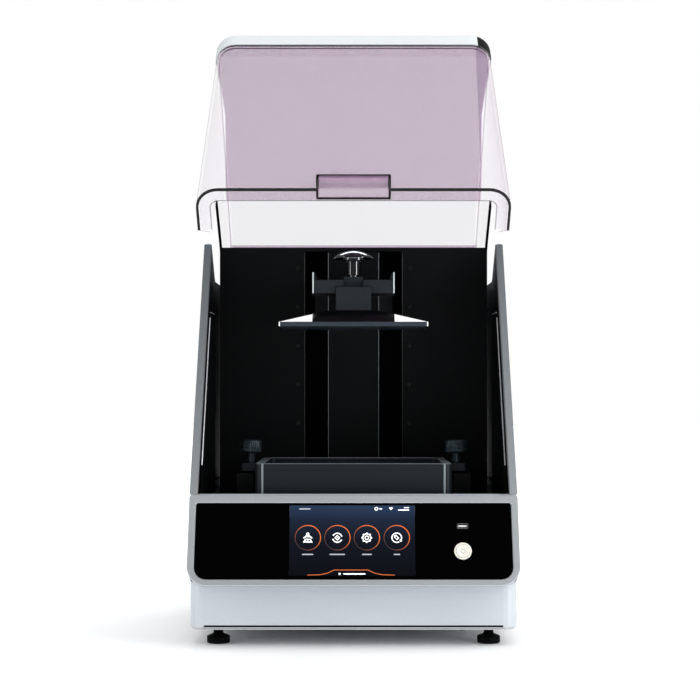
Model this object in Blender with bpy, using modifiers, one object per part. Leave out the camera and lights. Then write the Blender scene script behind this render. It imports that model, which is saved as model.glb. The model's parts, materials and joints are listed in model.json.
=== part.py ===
"""Desktop resin printer with a rear-hinged clear hood, shown with the hood open and the platform up.

Lengths below are millimetres and become metres through MM as each shape is made. Shapes are placed from a
datum on the console's top front edge: x to the right, y backwards, z up.
"""

import math

import bmesh
import bpy
from mathutils import Matrix, Vector

MM = 0.001

# Whole machine
HALF_WIDTH = 203.0
DATUM_HEIGHT = 188.0  # console's top front edge over the surface that the printer stands on
DATUM_TO_MIDDLE = 223.63  # from the console's top front edge back to the middle of the open printer's depth
GAP = 0.3  # between pieces that touch

# Base
BASE_FRONT, BASE_REAR = -4.0, 425.0
BASE_BOTTOM, BASE_TOP = -164.2, 0.0
BASE_WALL = 3.0
BASE_CORNER = 18.0
BOTTOM_PLATE = 1.9
DECK_TOP, DECK_THICK = -12.0, 2.0
FOOT_X, FOOT_FRONT, FOOT_REAR = 170.0, 35.0, 395.0
FOOT_RADIUS, FOOT_DISC, FOOT_NECK = 14.5, 11.0, 6.5

# Console
CONSOLE_LEAN = 21.4
CONSOLE_LENGTH = 115.3
CONSOLE_STEP = 18.0  # depth of the ledge on top of the console
CONSOLE_BOTTOM = -107.4
BEZEL_THICK = 7.0
BEZEL_SIDE, BEZEL_TOP, BEZEL_BOTTOM = 8.5, 10.0, 8.0
SCREEN_WIDTH, SCREEN_TALL, SCREEN_X, SCREEN_Y = 154.0, 89.0, -1.6, -57.8
USB_X, USB_Y, USB_WIDTH, USB_TALL, USB_WALL = 134.0, -39.8, 13.5, 7.0, 0.6
BUTTON_X, BUTTON_Y, BUTTON_RADIUS = 133.7, -71.5, 8.2
BUTTON_RING = 10.8

# Sides and tower
FRAME_INNER, FRAME_DEPTH, FRAME_SLOPE = 193.3, 11.0, 0.6
FRAME_TOP = 328.6
PANEL_INNER, PANEL_REAR, PANEL_PEAK, PANEL_SHOULDER = 196.0, 430.0, 330.0, 284.0
LINER_INNER, LINER_THICK = 192.3, 1.7
WALL_FRONT, WALL_THICK, WALL_HALF, WALL_TOP = 247.0, 3.0, 186.0, 328.0
CHANNEL_HALF, COVER_HALF = 67.6, 35.4
SCREW_X, SCREW_LOW, SCREW_PITCH, SCREW_COUNT = 77.7, 84.0, 54.0, 5
TOWER_HALF, TOWER_WALL = 185.5, 2.5

# Vat
VAT_HALF, VAT_FRONT, VAT_REAR, VAT_TOP, VAT_FLOOR = 125.0, 40.0, 230.0, 37.0, -8.3
VAT_WALL, VAT_CORNER = 12.0, 10.0
CLAMP_X, CLAMP_Y = 135.6, 135.0
KNOB_RADIUS, KNOB_LOW, KNOB_HIGH = 14.4, 47.7, 64.4

# Build platform and lift
PLATFORM_HALF, PLATFORM_FRONT, PLATFORM_REAR = 96.0, 75.0, 195.0
PLATE_LOW, PLATE_HIGH, ROOF_HIGH = 211.9, 217.4, 233.0
ROOF_HALF, ROOF_DEPTH = 34.5, 30.0
NECK_HALF, BOSS_HALF, NECK_Y, NECK_TOP = 23.0, 12.6, 135.0, 264.7
ARM_OUTER, ARM_INNER = 54.4, 50.2
CARRIAGE_FRONT = 266.0
RAIL_FRONT, COLUMN_FRONT = 289.7, 300.0
RAIL_X, COLUMN_LEFT, COLUMN_RIGHT = -11.0, -33.0, 6.0
LIFT_SCREW_X, LIFT_SCREW_Y, LIFT_SCREW_RADIUS = 21.5, 303.0, 5.0

# Hood, as it is when closed
HOOD_HALF, HOOD_WALL, HOOD_TOP, HOOD_LEAN_RUN = 191.5, 4.0, 402.0, 30.0
HOOD_REAR, HOOD_BEND, HOOD_LIP = 400.0, 28.0, 14.0
HOOD_OPEN = 46.9
HINGE_Y, HINGE_Z, HINGE_LOBE, HINGE_PIN = 400.0, 250.0, 25.0, 6.0
BAND_TALL, BAND_THICK = 25.0, 1.2
GRIP_HALF, GRIP_OUT, GRIP_TALL, GRIP_WALL = 45.0, 15.0, 11.0, 2.5

# Works in the base
FAN_X, FAN_Z, FAN_HALF, FAN_DEPTH = -60.0, -90.0, 40.0, 22.0
INLET_X, SWITCH_X, SWITCH_Y, SWITCH_TILT, POWER_Z = 150.0, 112.0, 421.0, 8.0, -120.0


for old in list(bpy.data.objects):
    bpy.data.objects.remove(old, do_unlink=True)

parts = bpy.data.collections.new("resin_printer")
helpers = bpy.data.collections.new("cutters")
for group in (parts, helpers):
    bpy.context.scene.collection.children.link(group)


def empty(name, location, lean=0.0, parent=None):
    """A frame that shapes hang from, turned by lean degrees about x."""
    holder = bpy.data.objects.new(name, None)
    holder.location = Vector(location) * MM
    holder.rotation_euler.x = math.radians(lean)
    holder.parent = parent
    parts.objects.link(holder)
    return holder


datum = empty("datum", (0, -DATUM_TO_MIDDLE, DATUM_HEIGHT))
console_datum = empty("console_datum", (0, 0, 0), 90 - CONSOLE_LEAN, datum)
hood_pivot = empty("hood_pivot", (0, HINGE_Y, HINGE_Z), -HOOD_OPEN, datum)


def material(name, colour, roughness, metallic=0.0, alpha=1.0):
    made = bpy.data.materials.new(name)
    made.use_nodes = True
    shader = made.node_tree.nodes["Principled BSDF"]
    shader.inputs["Base Color"].default_value = (*colour, 1)
    shader.inputs["Roughness"].default_value = roughness
    shader.inputs["Metallic"].default_value = metallic
    shader.inputs["Alpha"].default_value = alpha
    return made


SILVER = material("silver_paint", (0.62, 0.63, 0.65), 0.35, 0.6)
WHITE = material("grey_white_paint", (0.72, 0.73, 0.75), 0.4)
BLACK = material("black_powder_coat", (0.01, 0.01, 0.012), 0.5)
GLASS = material("black_glass", (0.004, 0.004, 0.005), 0.05)
SCREEN = material("screen", (0.02, 0.04, 0.09), 0.1)
METAL = material("machined_metal", (0.55, 0.56, 0.58), 0.3, 1.0)
CHROME = material("polished_metal", (0.8, 0.8, 0.82), 0.1, 1.0)
BLUE_BLACK = material("anodised_blue_black", (0.015, 0.03, 0.05), 0.35, 0.7)
RUBBER = material("foot_rubber", (0.012, 0.012, 0.012), 0.7)
ACRYLIC = material("violet_acrylic", (0.78, 0.7, 0.8), 0.05, 0.0, 0.4)
PLASTIC = material("black_plastic", (0.015, 0.015, 0.016), 0.45)
BOARD = material("circuit_board", (0.01, 0.12, 0.05), 0.5)
FILM = material("clear_film", (0.75, 0.78, 0.8), 0.1, 0.0, 0.5)


def register(name, mesh, surface, parent=datum, smooth=40.0):
    """Makes the mesh a part, or a cutter where it has no surface."""
    shape = bpy.data.objects.new(name, mesh)
    shape.parent = parent
    if surface is None:
        helpers.objects.link(shape)
        shape.hide_render = True
        shape.display_type = "WIRE"
        return shape
    parts.objects.link(shape)
    mesh.materials.clear()
    mesh.materials.append(surface)
    mesh.shade_smooth()
    mesh.set_sharp_from_angle(angle=math.radians(smooth))
    return shape


def mesh_from(shape_mesh, name):
    bmesh.ops.recalc_face_normals(shape_mesh, faces=shape_mesh.faces)
    mesh = bpy.data.meshes.new(name)
    shape_mesh.to_mesh(mesh)
    shape_mesh.free()
    return mesh


def box_mesh(name, low, high, edge=0.0, segments=2):
    """A block from corner to corner, with its edges rounded by edge."""
    work = bmesh.new()
    bmesh.ops.create_cube(work, size=1.0)
    size = (Vector(high) - Vector(low)) * MM
    middle = (Vector(high) + Vector(low)) * 0.5 * MM
    bmesh.ops.scale(work, vec=size, verts=work.verts)
    bmesh.ops.translate(work, vec=middle, verts=work.verts)
    if edge:
        bmesh.ops.bevel(
            work, geom=list(work.edges), offset=edge * MM, segments=segments, profile=0.5, affect="EDGES"
        )
    return mesh_from(work, name)


def block(name, low, high, surface=None, parent=datum, edge=0.0, segments=2):
    return register(name, box_mesh(name, low, high, edge, segments), surface, parent)


TURNS = {"x": Matrix.Rotation(math.radians(90), 4, "Y"), "y": Matrix.Rotation(math.radians(-90), 4, "X"),
         "z": Matrix.Identity(4)}


def rod(name, centre, radius, length, axis="z", surface=None, parent=datum, sides=24, edge=0.0):
    """A round bar, centred on centre, along axis."""
    work = bmesh.new()
    bmesh.ops.create_cone(
        work, cap_ends=True, segments=sides, radius1=radius * MM, radius2=radius * MM, depth=length * MM
    )
    if edge:
        rims = [e for e in work.edges if abs(e.verts[0].co.z - e.verts[1].co.z) < 1e-6]
        bmesh.ops.bevel(work, geom=rims, offset=edge * MM, segments=2, profile=0.5, affect="EDGES")
    place = Matrix.Translation(Vector(centre) * MM) @ TURNS[axis]
    bmesh.ops.transform(work, matrix=place, verts=work.verts)
    return register(name, mesh_from(work, name), surface, parent)


def turned(name, profile, centre, surface, parent=datum, steps=24):
    """A shape turned about the vertical through centre: profile is (radius, height) from top to bottom."""
    work = bmesh.new()
    ring = [work.verts.new((radius * MM, 0, height * MM)) for radius, height in profile]
    for first, second in zip(ring, ring[1:]):
        work.edges.new((first, second))
    mesh = bpy.data.meshes.new(name)
    work.to_mesh(mesh)
    work.free()
    shape = register(name, mesh, surface, parent)
    shape.location = Vector(centre) * MM
    screw = shape.modifiers.new("turn", "SCREW")
    screw.steps = steps
    screw.render_steps = steps
    screw.use_merge_vertices = True
    screw.merge_threshold = 0.00001
    screw.use_smooth_shade = True
    return shape


def rounded(corners, steps=5):
    """The outline through (x, y, radius) corners, with each corner an arc of its radius."""
    outline = []
    count = len(corners)
    for i, (x, y, radius) in enumerate(corners):
        here = Vector((x, y))
        before = (Vector(corners[i - 1][:2]) - here).normalized()
        after = (Vector(corners[(i + 1) % count][:2]) - here).normalized()
        if radius == 0:
            outline.append(here)
            continue
        half = before.angle(after) / 2
        start = here + before * (radius / math.tan(half))
        centre = here + (before + after).normalized() * (radius / math.sin(half))
        arm = start - centre
        turn = math.pi - 2 * half
        side = math.copysign(1.0, before.x * after.y - before.y * after.x)
        for k in range(steps + 1):
            spin = Matrix.Rotation(-side * turn * k / steps, 2)
            outline.append(centre + spin @ arm)
    return outline


def oblong(x0, y0, x1, y1, radius=0.0, steps=5):
    return rounded([(x0, y0, radius), (x1, y0, radius), (x1, y1, radius), (x0, y1, radius)], steps)


def circle(x, y, radius, sides=24):
    turns = [2 * math.pi * k / sides for k in range(sides)]
    return [Vector((x + radius * math.cos(a), y + radius * math.sin(a))) for a in turns]


# How an outline's own x, y and thickness lie: seen from above, from the side, and from the front.
PLANES = {
    "plan": Matrix.Identity(4),
    "side": Matrix(((0, 0, 1, 0), (1, 0, 0, 0), (0, 1, 0, 0), (0, 0, 0, 1))),
    "front": Matrix(((1, 0, 0, 0), (0, 0, -1, 0), (0, 1, 0, 0), (0, 0, 0, 1))),
}


def outline_mesh(name, outlines, low, high, plane="plan"):
    """The flat outlines, the first the outside and the rest holes, as a solid from low to high."""
    curve = bpy.data.curves.new(name, "CURVE")
    curve.dimensions = "2D"
    curve.fill_mode = "BOTH"
    curve.extrude = (high - low) / 2 * MM
    for outline in outlines:
        spline = curve.splines.new("POLY")
        spline.points.add(len(outline) - 1)
        for point, at in zip(spline.points, outline):
            point.co = (at[0] * MM, at[1] * MM, 0, 1)
        spline.use_cyclic_u = True
    guide = bpy.data.objects.new(name, curve)
    helpers.objects.link(guide)
    graph = bpy.context.evaluated_depsgraph_get()
    mesh = bpy.data.meshes.new_from_object(guide.evaluated_get(graph))
    bpy.data.objects.remove(guide, do_unlink=True)
    work = bmesh.new()
    work.from_mesh(mesh)
    bmesh.ops.remove_doubles(work, verts=work.verts, dist=1e-6)
    bmesh.ops.dissolve_limit(work, angle_limit=0.001, verts=work.verts, edges=work.edges)
    shift = Matrix.Translation((0, 0, (high + low) / 2 * MM))
    bmesh.ops.transform(work, matrix=PLANES[plane] @ shift, verts=work.verts)
    return mesh_from(work, name)


def plate(name, outlines, low, high, plane="plan", surface=None, parent=datum):
    return register(name, outline_mesh(name, outlines, low, high, plane), surface, parent)


def boolean(shape, tools, operation):
    for tool in tools:
        step = shape.modifiers.new(operation.lower(), "BOOLEAN")
        step.operation = operation
        step.object = tool
    return shape


def cut(shape, *tools):
    return boolean(shape, tools, "DIFFERENCE")


def join(shape, *tools):
    return boolean(shape, tools, "UNION")


def soften(shape, width, segments=2, angle=35):
    bevel = shape.modifiers.new("soften", "BEVEL")
    bevel.width = width * MM
    bevel.segments = segments
    bevel.limit_method = "ANGLE"
    bevel.angle_limit = math.radians(angle)
    return shape


def make_base():
    """The painted sheet-metal tray, stepped at the front for the console."""
    outside = oblong(-HALF_WIDTH, BASE_FRONT, HALF_WIDTH, BASE_REAR, BASE_CORNER)
    base = plate("base_shell", [outside], BASE_BOTTOM, BASE_TOP, surface=WHITE)
    inner = HALF_WIDTH - BASE_WALL
    step_low = CONSOLE_BOTTOM - GAP
    step = block("console_step", (-220, -30, step_low), (220, CONSOLE_STEP + GAP, 20))
    front = BASE_FRONT + BASE_WALL
    back = BASE_REAR - BASE_WALL
    inner_corner = BASE_CORNER - BASE_WALL
    lower = plate("lower_room", [oblong(-inner, front, inner, back, inner_corner)], BASE_BOTTOM + BASE_WALL,
                  step_low - BASE_WALL)
    riser = CONSOLE_STEP + GAP + BASE_WALL
    room = rounded([(-inner, riser, 0), (inner, riser, 0), (inner, back, inner_corner), (-inner, back, inner_corner)])
    upper = plate("upper_room", [room], step_low - BASE_WALL - 5, 20)
    window = block("cable_window", (-150, 0, -95), (150, 40, -30))
    groove = block("front_groove", (-185, BASE_FRONT - 5, -163.2), (185, BASE_FRONT + 1.2, -160.8))
    inlet = block("inlet_hole", (INLET_X - 14, 400, POWER_Z - 10), (INLET_X + 14, 440, POWER_Z + 10))
    rocker = block("switch_hole", (SWITCH_X - 7, 400, POWER_Z - 10), (SWITCH_X + 7, 440, POWER_Z + 10))
    cut(base, step, lower, upper, window, groove, inlet, rocker)
    for k in range(5):
        z = FAN_Z + (k - 2) * 13
        slot = block(f"fan_slot_{k}", (FAN_X - 30, 400, z - 3.5), (FAN_X + 30, 440, z + 3.5))
        cut(base, slot)
    top = BASE_BOTTOM - GAP
    outside = oblong(-HALF_WIDTH + 2, BASE_FRONT + 1, HALF_WIDTH - 2, BASE_REAR - 2, BASE_CORNER)
    plate("bottom_plate", [outside], top - BOTTOM_PLATE, top, surface=SILVER)
    holes = [oblong(-105, 60, 105, 210), oblong(-60, 266, 60, 380, 4)]
    edge = inner - GAP
    deck = [rounded([(-edge, riser + GAP, 0), (edge, riser + GAP, 0), (edge, back - GAP, inner_corner),
                     (-edge, back - GAP, inner_corner)])]
    plate("deck_plate", deck + holes, DECK_TOP - DECK_THICK, DECK_TOP, surface=BLACK)


def make_feet():
    top = BASE_BOTTOM - 2 * GAP - BOTTOM_PLATE
    sole = -DATUM_HEIGHT
    disc = sole + FOOT_DISC
    profile = [(0, top), (FOOT_NECK, top), (FOOT_NECK, disc + 1.5), (10.5, disc), (FOOT_RADIUS, disc - 2),
               (FOOT_RADIUS, sole + 1.5), (13, sole), (0, sole)]
    for end, y in (("front", FOOT_FRONT), ("rear", FOOT_REAR)):
        for side, x in (("left", -FOOT_X), ("right", FOOT_X)):
            turned(f"foot_{end}_{side}", profile, (x, y, 0), RUBBER, steps=20)


def make_console():
    """The leaning display console, in a frame whose y runs up its face and whose z comes out of it."""
    half, length = HALF_WIDTH, CONSOLE_LENGTH
    face = rounded([(-half, -length, 24), (half, -length, 24), (half, 0, 3), (-half, 0, 3)], 6)
    inner = half - BEZEL_SIDE
    low = -length + BEZEL_BOTTOM
    opening = rounded([(-inner, low, 15), (inner, low, 15), (inner, -BEZEL_TOP, 3), (-inner, -BEZEL_TOP, 3)], 5)
    bezel = plate("console_bezel", [face, opening], -BEZEL_THICK, 0, surface=SILVER, parent=console_datum)
    soften(bezel, 0.9, 1)
    inner -= GAP
    low += GAP
    top = -BEZEL_TOP - GAP
    pane = rounded([(-inner, low, 15), (inner, low, 15), (inner, top, 3), (-inner, top, 3)], 5)
    wide, tall = SCREEN_WIDTH / 2 + GAP, SCREEN_TALL / 2 + GAP
    screen = oblong(SCREEN_X - wide, SCREEN_Y - tall, SCREEN_X + wide, SCREEN_Y + tall)
    wide, tall = USB_WIDTH / 2 + GAP, USB_TALL / 2 + GAP
    port = oblong(USB_X - wide, USB_Y - tall, USB_X + wide, USB_Y + tall, 1.5, 3)
    button = circle(BUTTON_X, BUTTON_Y, BUTTON_RING + GAP)
    plate("console_glass", [pane, screen, port, button], -5, -0.8, surface=GLASS, parent=console_datum)
    wide, tall = SCREEN_WIDTH / 2, SCREEN_TALL / 2
    block("display_panel", (SCREEN_X - wide, SCREEN_Y - tall, -4.6), (SCREEN_X + wide, SCREEN_Y + tall, -0.9),
          SCREEN, console_datum)
    wide, tall = USB_WIDTH / 2, USB_TALL / 2
    shell = oblong(USB_X - wide, USB_Y - tall, USB_X + wide, USB_Y + tall, 1.2, 3)
    wide, tall = wide - USB_WALL, tall - USB_WALL
    mouth = oblong(USB_X - wide, USB_Y - tall, USB_X + wide, USB_Y + tall, 0.5, 2)
    plate("usb_port", [shell, mouth], -14, -0.6, surface=METAL, parent=console_datum)
    ring = [circle(BUTTON_X, BUTTON_Y, BUTTON_RING, 32), circle(BUTTON_X, BUTTON_Y, BUTTON_RADIUS + GAP, 32)]
    ring = plate("power_button_ring", ring, -5, 0.2, surface=METAL, parent=console_datum)
    soften(ring, 0.5, 1)
    rod("power_button", (BUTTON_X, BUTTON_Y, -2.2), BUTTON_RADIUS, 5.2, "z", METAL, console_datum, 32, 0.5)

    # The wedge between the leaning face and the base, open at the back for the cables.
    lean = math.tan(math.radians(CONSOLE_LEAN))
    front = (BEZEL_THICK + GAP) / math.cos(math.radians(CONSOLE_LEAN))
    foot = front + CONSOLE_BOTTOM * lean
    wedge = [(front, 0), (CONSOLE_STEP, 0), (CONSOLE_STEP, CONSOLE_BOTTOM), (foot, CONSOLE_BOTTOM)]
    housing = plate("console_housing", [wedge], -half, half, "side", WHITE)
    trim = plate("console_trim", [face, oblong(-300, -300, 300, 300)[::-1]], -60, 20, parent=console_datum)
    room = block("console_room", (-half + 2.5, -60, CONSOLE_BOTTOM + 2.5), (half - 2.5, 40, -2.5))
    cut(housing, room, trim)


def make_sides():
    """The leaning silver frames, the outer panels behind them and the black liners inside."""
    slope, deep = FRAME_SLOPE, FRAME_DEPTH
    top = FRAME_TOP
    frame = rounded([(0.3, GAP, 0), (deep + 1, GAP, 0), (top * slope + deep, top, 3), (top * slope, top, 5)], 4)
    peak, shoulder = PANEL_PEAK, PANEL_SHOULDER
    start = deep + 1 + GAP
    panel = rounded(
        [(start, GAP, 0), (PANEL_REAR, GAP, 4), (PANEL_REAR, shoulder, 10), (288, shoulder, 22), (234, peak, 12),
         (peak * slope + deep + 0.4, peak, 2)], 4,
    )
    liner_top = 234.0
    inset = 38.0
    liner = rounded(
        [(inset, DECK_TOP + GAP, 0), (WALL_FRONT - 1, DECK_TOP + GAP, 0), (WALL_FRONT - 1, liner_top, 3),
         (inset + liner_top * slope, liner_top, 8)], 4,
    )
    for name, sign in (("left", -1), ("right", 1)):
        low, high = sorted((sign * FRAME_INNER, sign * HALF_WIDTH))
        soften(plate(f"side_frame_{name}", [frame], low, high, "side", SILVER), 1.0, 1)
        low, high = sorted((sign * PANEL_INNER, sign * HALF_WIDTH))
        soften(plate(f"side_panel_{name}", [panel], low, high, "side", WHITE), 0.8, 1)
        low, high = sorted((sign * LINER_INNER, sign * (LINER_INNER + LINER_THICK)))
        plate(f"side_liner_{name}", [liner], low, high, "side", BLACK)


def make_tower():
    """The back wall with its two arm slots, the cover between them and the hood over the lift."""
    low, top = DECK_TOP + GAP, WALL_TOP
    wall = oblong(-WALL_HALF, low, WALL_HALF, top)
    channel = oblong(-CHANNEL_HALF, low + 20, CHANNEL_HALF, top - 5, 3, 3)
    rear = WALL_FRONT + WALL_THICK
    holes = [circle(side * SCREW_X, SCREW_LOW + k * SCREW_PITCH, 2.3, 10)
             for side in (-1, 1) for k in range(SCREW_COUNT)]
    plate("back_wall", [wall, channel, *holes], -rear, -WALL_FRONT, "front", BLACK)
    for name, sign in (("left", -1), ("right", 1)):
        x = sign * SCREW_X
        strip_top = SCREW_LOW + (SCREW_COUNT - 1) * SCREW_PITCH + 6
        strip = block(f"wall_screws_{name}", (x - 4, rear + GAP, SCREW_LOW - 6), (x + 4, rear + 2, strip_top), METAL)
        for k in range(SCREW_COUNT):
            z = SCREW_LOW + k * SCREW_PITCH
            shank = rod(f"shank_{name}_{k}", (x, WALL_FRONT + 1.5, z), 2.0, 5, "y", sides=10)
            head = rod(f"head_{name}_{k}", (x, WALL_FRONT - GAP - 0.7, z), 3.4, 1.4, "y", sides=12)
            join(strip, shank, head)
    cover_low = low + 20.4
    block("column_cover", (-COVER_HALF, WALL_FRONT + 0.4, cover_low), (COVER_HALF, rear - 0.4, top - 5.4), BLACK,
          edge=0.6, segments=1)
    start = rear + GAP
    roof = top
    outer = box_mesh("tower_cover", (-TOWER_HALF, start, low), (TOWER_HALF, BASE_REAR - 4, roof), 2.0, 1)
    tower = register("tower_cover", outer, WHITE)
    room = block("tower_room", (-TOWER_HALF + TOWER_WALL, start - 10, low - 10),
                 (TOWER_HALF - TOWER_WALL, BASE_REAR - 4 - TOWER_WALL, roof - TOWER_WALL))
    cut(tower, room)
    for side in (-1, 1):
        x0, x1 = sorted((side * 85, side * 155))
        for k in range(5):
            z = 160 + k * 14
            cut(tower, block(f"tower_slot_{side}_{k}", (x0, 400, z), (x1, 440, z + 6)))


def make_vat():
    """The resin vat: a metal frame whose floor is a clear film held by a ring."""
    front, rear, half = VAT_FRONT, VAT_REAR, VAT_HALF
    wall = VAT_WALL
    outside = oblong(-half, front, half, rear, VAT_CORNER)
    inside = oblong(-half + wall, front + wall, half - wall, rear - wall, 6)
    vat = plate("vat_body", [outside, inside], VAT_FLOOR, VAT_TOP, surface=BLUE_BLACK)
    soften(vat, 1.6, 2)
    for name, sign in (("left", -1), ("right", 1)):
        x0, x1 = sorted((sign * (half - 2), sign * 148))
        ear = plate(f"ear_{name}", [oblong(x0, CLAMP_Y - 16, x1, CLAMP_Y + 16, 3, 3)], 24, 34)
        hole = rod(f"ear_hole_{name}", (sign * CLAMP_X, CLAMP_Y, 30), 6.3, 40, sides=16)
        join(vat, ear)
        cut(vat, hole)
    floor = VAT_FLOOR - GAP
    ring_in = oblong(-half + 20, front + 20, half - 20, rear - 20, 6)
    ring_out = oblong(-half + 5, front + 5, half - 5, rear - 5, 8)
    plate("film_ring", [ring_out, ring_in], DECK_TOP + GAP, floor, surface=METAL)
    x, y0, y1 = half - wall - GAP, front + wall + GAP, rear - wall - GAP
    plate("vat_film", [oblong(-x, y0, x, y1, 6)], floor + GAP, floor + GAP + 0.8, surface=FILM)
    low, high = KNOB_LOW, KNOB_HIGH
    profile = [(0, high), (11.7, high), (KNOB_RADIUS, high - 1.5), (KNOB_RADIUS, low + 1.5), (11.7, low),
               (7.5, low), (5.5, low - 2), (5.5, 24), (4, 21.7), (0, 21.7)]
    for name, sign in (("left", -1), ("right", 1)):
        turned(f"thumbscrew_{name}", profile, (sign * CLAMP_X, CLAMP_Y, 0), BLUE_BLACK, steps=28)
        x0, x1 = sorted((sign * 130.5, sign * 154))
        block(f"clamp_post_{name}", (x0, CLAMP_Y - 18, DECK_TOP + GAP), (x1, CLAMP_Y + 18, 20.6), BLACK, edge=1.0,
              segments=1)


def make_light_engine():
    """What lights the resin from below: a masking screen over a dark tunnel with lamps at its bottom."""
    block("lcd_mask", (-104.7, 60.3, DECK_TOP - 2.2), (104.7, 209.7, DECK_TOP + 0.2), GLASS)
    top = DECK_TOP - DECK_THICK - 0.5
    tunnel = [oblong(-112, 55, 112, 215), oblong(-102, 65, 102, 205)]
    plate("light_tunnel", tunnel, -140, top, surface=PLASTIC)
    block("lamp_board", (-101, 66, -139), (101, 204, -136.5), BOARD)
    sink = block("lamp_heatsink", (-112, 55, -144), (112, 215, -140.3), METAL)
    for k in range(8):
        x = -98 + 28 * k
        join(sink, block(f"fin_{k}", (x - 1.5, 60, -156), (x + 1.5, 210, -143)))


def make_lift():
    """The column, rail, screw and motor, and the carriage that carries the build platform."""
    low, top = DECK_TOP + GAP, 318.0
    block("z_column", (COLUMN_LEFT, COLUMN_FRONT, low), (COLUMN_RIGHT, 340, top), METAL)
    block("z_rail", (RAIL_X - 10, RAIL_FRONT + 1, low), (RAIL_X + 10, COLUMN_FRONT - GAP, top - 4), METAL)
    x, y = LIFT_SCREW_X, LIFT_SCREW_Y
    screw_low = -8.0
    rod("lift_screw", (x, y, (screw_low + 306) / 2), LIFT_SCREW_RADIUS, 306 - screw_low, "z", METAL, sides=20)
    body_top = DECK_TOP - DECK_THICK - 8
    block("lift_motor", (x - 21, y - 21, body_top - 48), (x + 21, y + 21, body_top), PLASTIC, edge=3)
    rod("motor_coupling", (x, y, (body_top + screw_low) / 2), 9.5, screw_low - body_top - 2 * GAP, "z", METAL,
        sides=20)
    bearing = [oblong(COLUMN_RIGHT + GAP, y - 13, x + 12, y + 13, 2, 2), circle(x, y, LIFT_SCREW_RADIUS + 0.8, 20)]
    bearing = plate("screw_top_bearing", bearing, 296, 304, surface=METAL)
    join(bearing, block("bearing_foot", (COLUMN_RIGHT + GAP, y - 3, 280), (COLUMN_RIGHT + 4, y + 13, 304)))
    carriage = block("z_carriage", (-ARM_OUTER, CARRIAGE_FRONT, 225), (ARM_OUTER, RAIL_FRONT - 12, 282), BLACK)
    for z in (232, 262):
        shoe = block(f"bearing_block_{z}", (RAIL_X - 20, RAIL_FRONT - 13, z), (RAIL_X + 20, COLUMN_FRONT - 1, z + 16))
        join(carriage, shoe)
    cut(carriage, block("rail_way", (RAIL_X - 10.6, RAIL_FRONT + 0.4, 200), (RAIL_X + 10.6, 330, 300)))
    plate("lift_nut", [oblong(x - 11, RAIL_FRONT - 11.5, x + 11, y + 11, 4, 3), circle(x, y, 5.6, 20)],
                240, 262, surface=METAL)


def make_platform():
    """The build platform on its fork, with the knob that clamps it."""
    y = NECK_Y
    work = bmesh.new()
    bmesh.ops.create_cube(work, size=1.0)
    low = Vector((-PLATFORM_HALF, PLATFORM_FRONT, PLATE_LOW))
    high = Vector((PLATFORM_HALF, PLATFORM_REAR, PLATE_HIGH))
    bmesh.ops.scale(work, vec=(high - low) * MM, verts=work.verts)
    bmesh.ops.translate(work, vec=(high + low) / 2 * MM, verts=work.verts)
    top = max(work.faces, key=lambda face: face.calc_center_median().z)
    roof = bmesh.ops.extrude_face_region(work, geom=[top])["geom"]
    bmesh.ops.delete(work, geom=[top], context="FACES")
    for vertex in (item for item in roof if isinstance(item, bmesh.types.BMVert)):
        vertex.co.x *= ROOF_HALF / PLATFORM_HALF
        vertex.co.y = (y + (ROOF_DEPTH if vertex.co.y > y * MM else -ROOF_DEPTH)) * MM
        vertex.co.z = ROOF_HIGH * MM
    register("build_platform", mesh_from(work, "build_platform"), METAL, smooth=15)

    neck = block("platform_neck", (-NECK_HALF, y - 30, ROOF_HIGH + GAP), (NECK_HALF, y + 30, NECK_TOP), BLACK,
                 edge=1.0, segments=1)
    join(neck, block("neck_boss", (-BOSS_HALF, y - 12, 260), (BOSS_HALF, y + 12, 278.5)))

    arm_low, arm_high, cheek_high = 256.7, 273.9, 283.7
    bar = block("arm_bracket", (0.2 - ARM_OUTER, y - 22, arm_low), (ARM_OUTER - 0.2, y + 45, arm_high), BLACK)
    wide, narrow, shoulder = NECK_HALF + 0.4, BOSS_HALF + 0.4, NECK_TOP + 0.4
    way = [(-wide, 240), (wide, 240), (wide, shoulder), (narrow, shoulder), (narrow, 290), (-narrow, 290),
           (-narrow, shoulder), (-wide, shoulder)]
    cut(bar, plate("neck_way", [way], -y - 30.4, -y + 40, "front"))
    arm_end = CARRIAGE_FRONT - GAP
    for name, sign in (("left", -1), ("right", 1)):
        cheek = [(y - 22.4, arm_low - 0.2), (y + 44, arm_low - 0.2), (y + 44, 271), (arm_end, 271),
                 (arm_end, cheek_high), (y - 22.4, cheek_high)]
        x0, x1 = sorted((sign * ARM_INNER, sign * ARM_OUTER))
        join(bar, plate(f"cheek_{name}", [cheek], x0, x1, "side"))

    profile = [(0, 314), (14, 313.2), (22, 310.5), (26.3, 306.5), (27, 303.8), (26, 302), (16, 301.6), (16, 299.8),
               (9.3, 299.6), (9.3, 281), (7, 278.9), (0, 278.9)]
    turned("platform_knob", profile, (0, y, 0), CHROME, steps=32)


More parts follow.
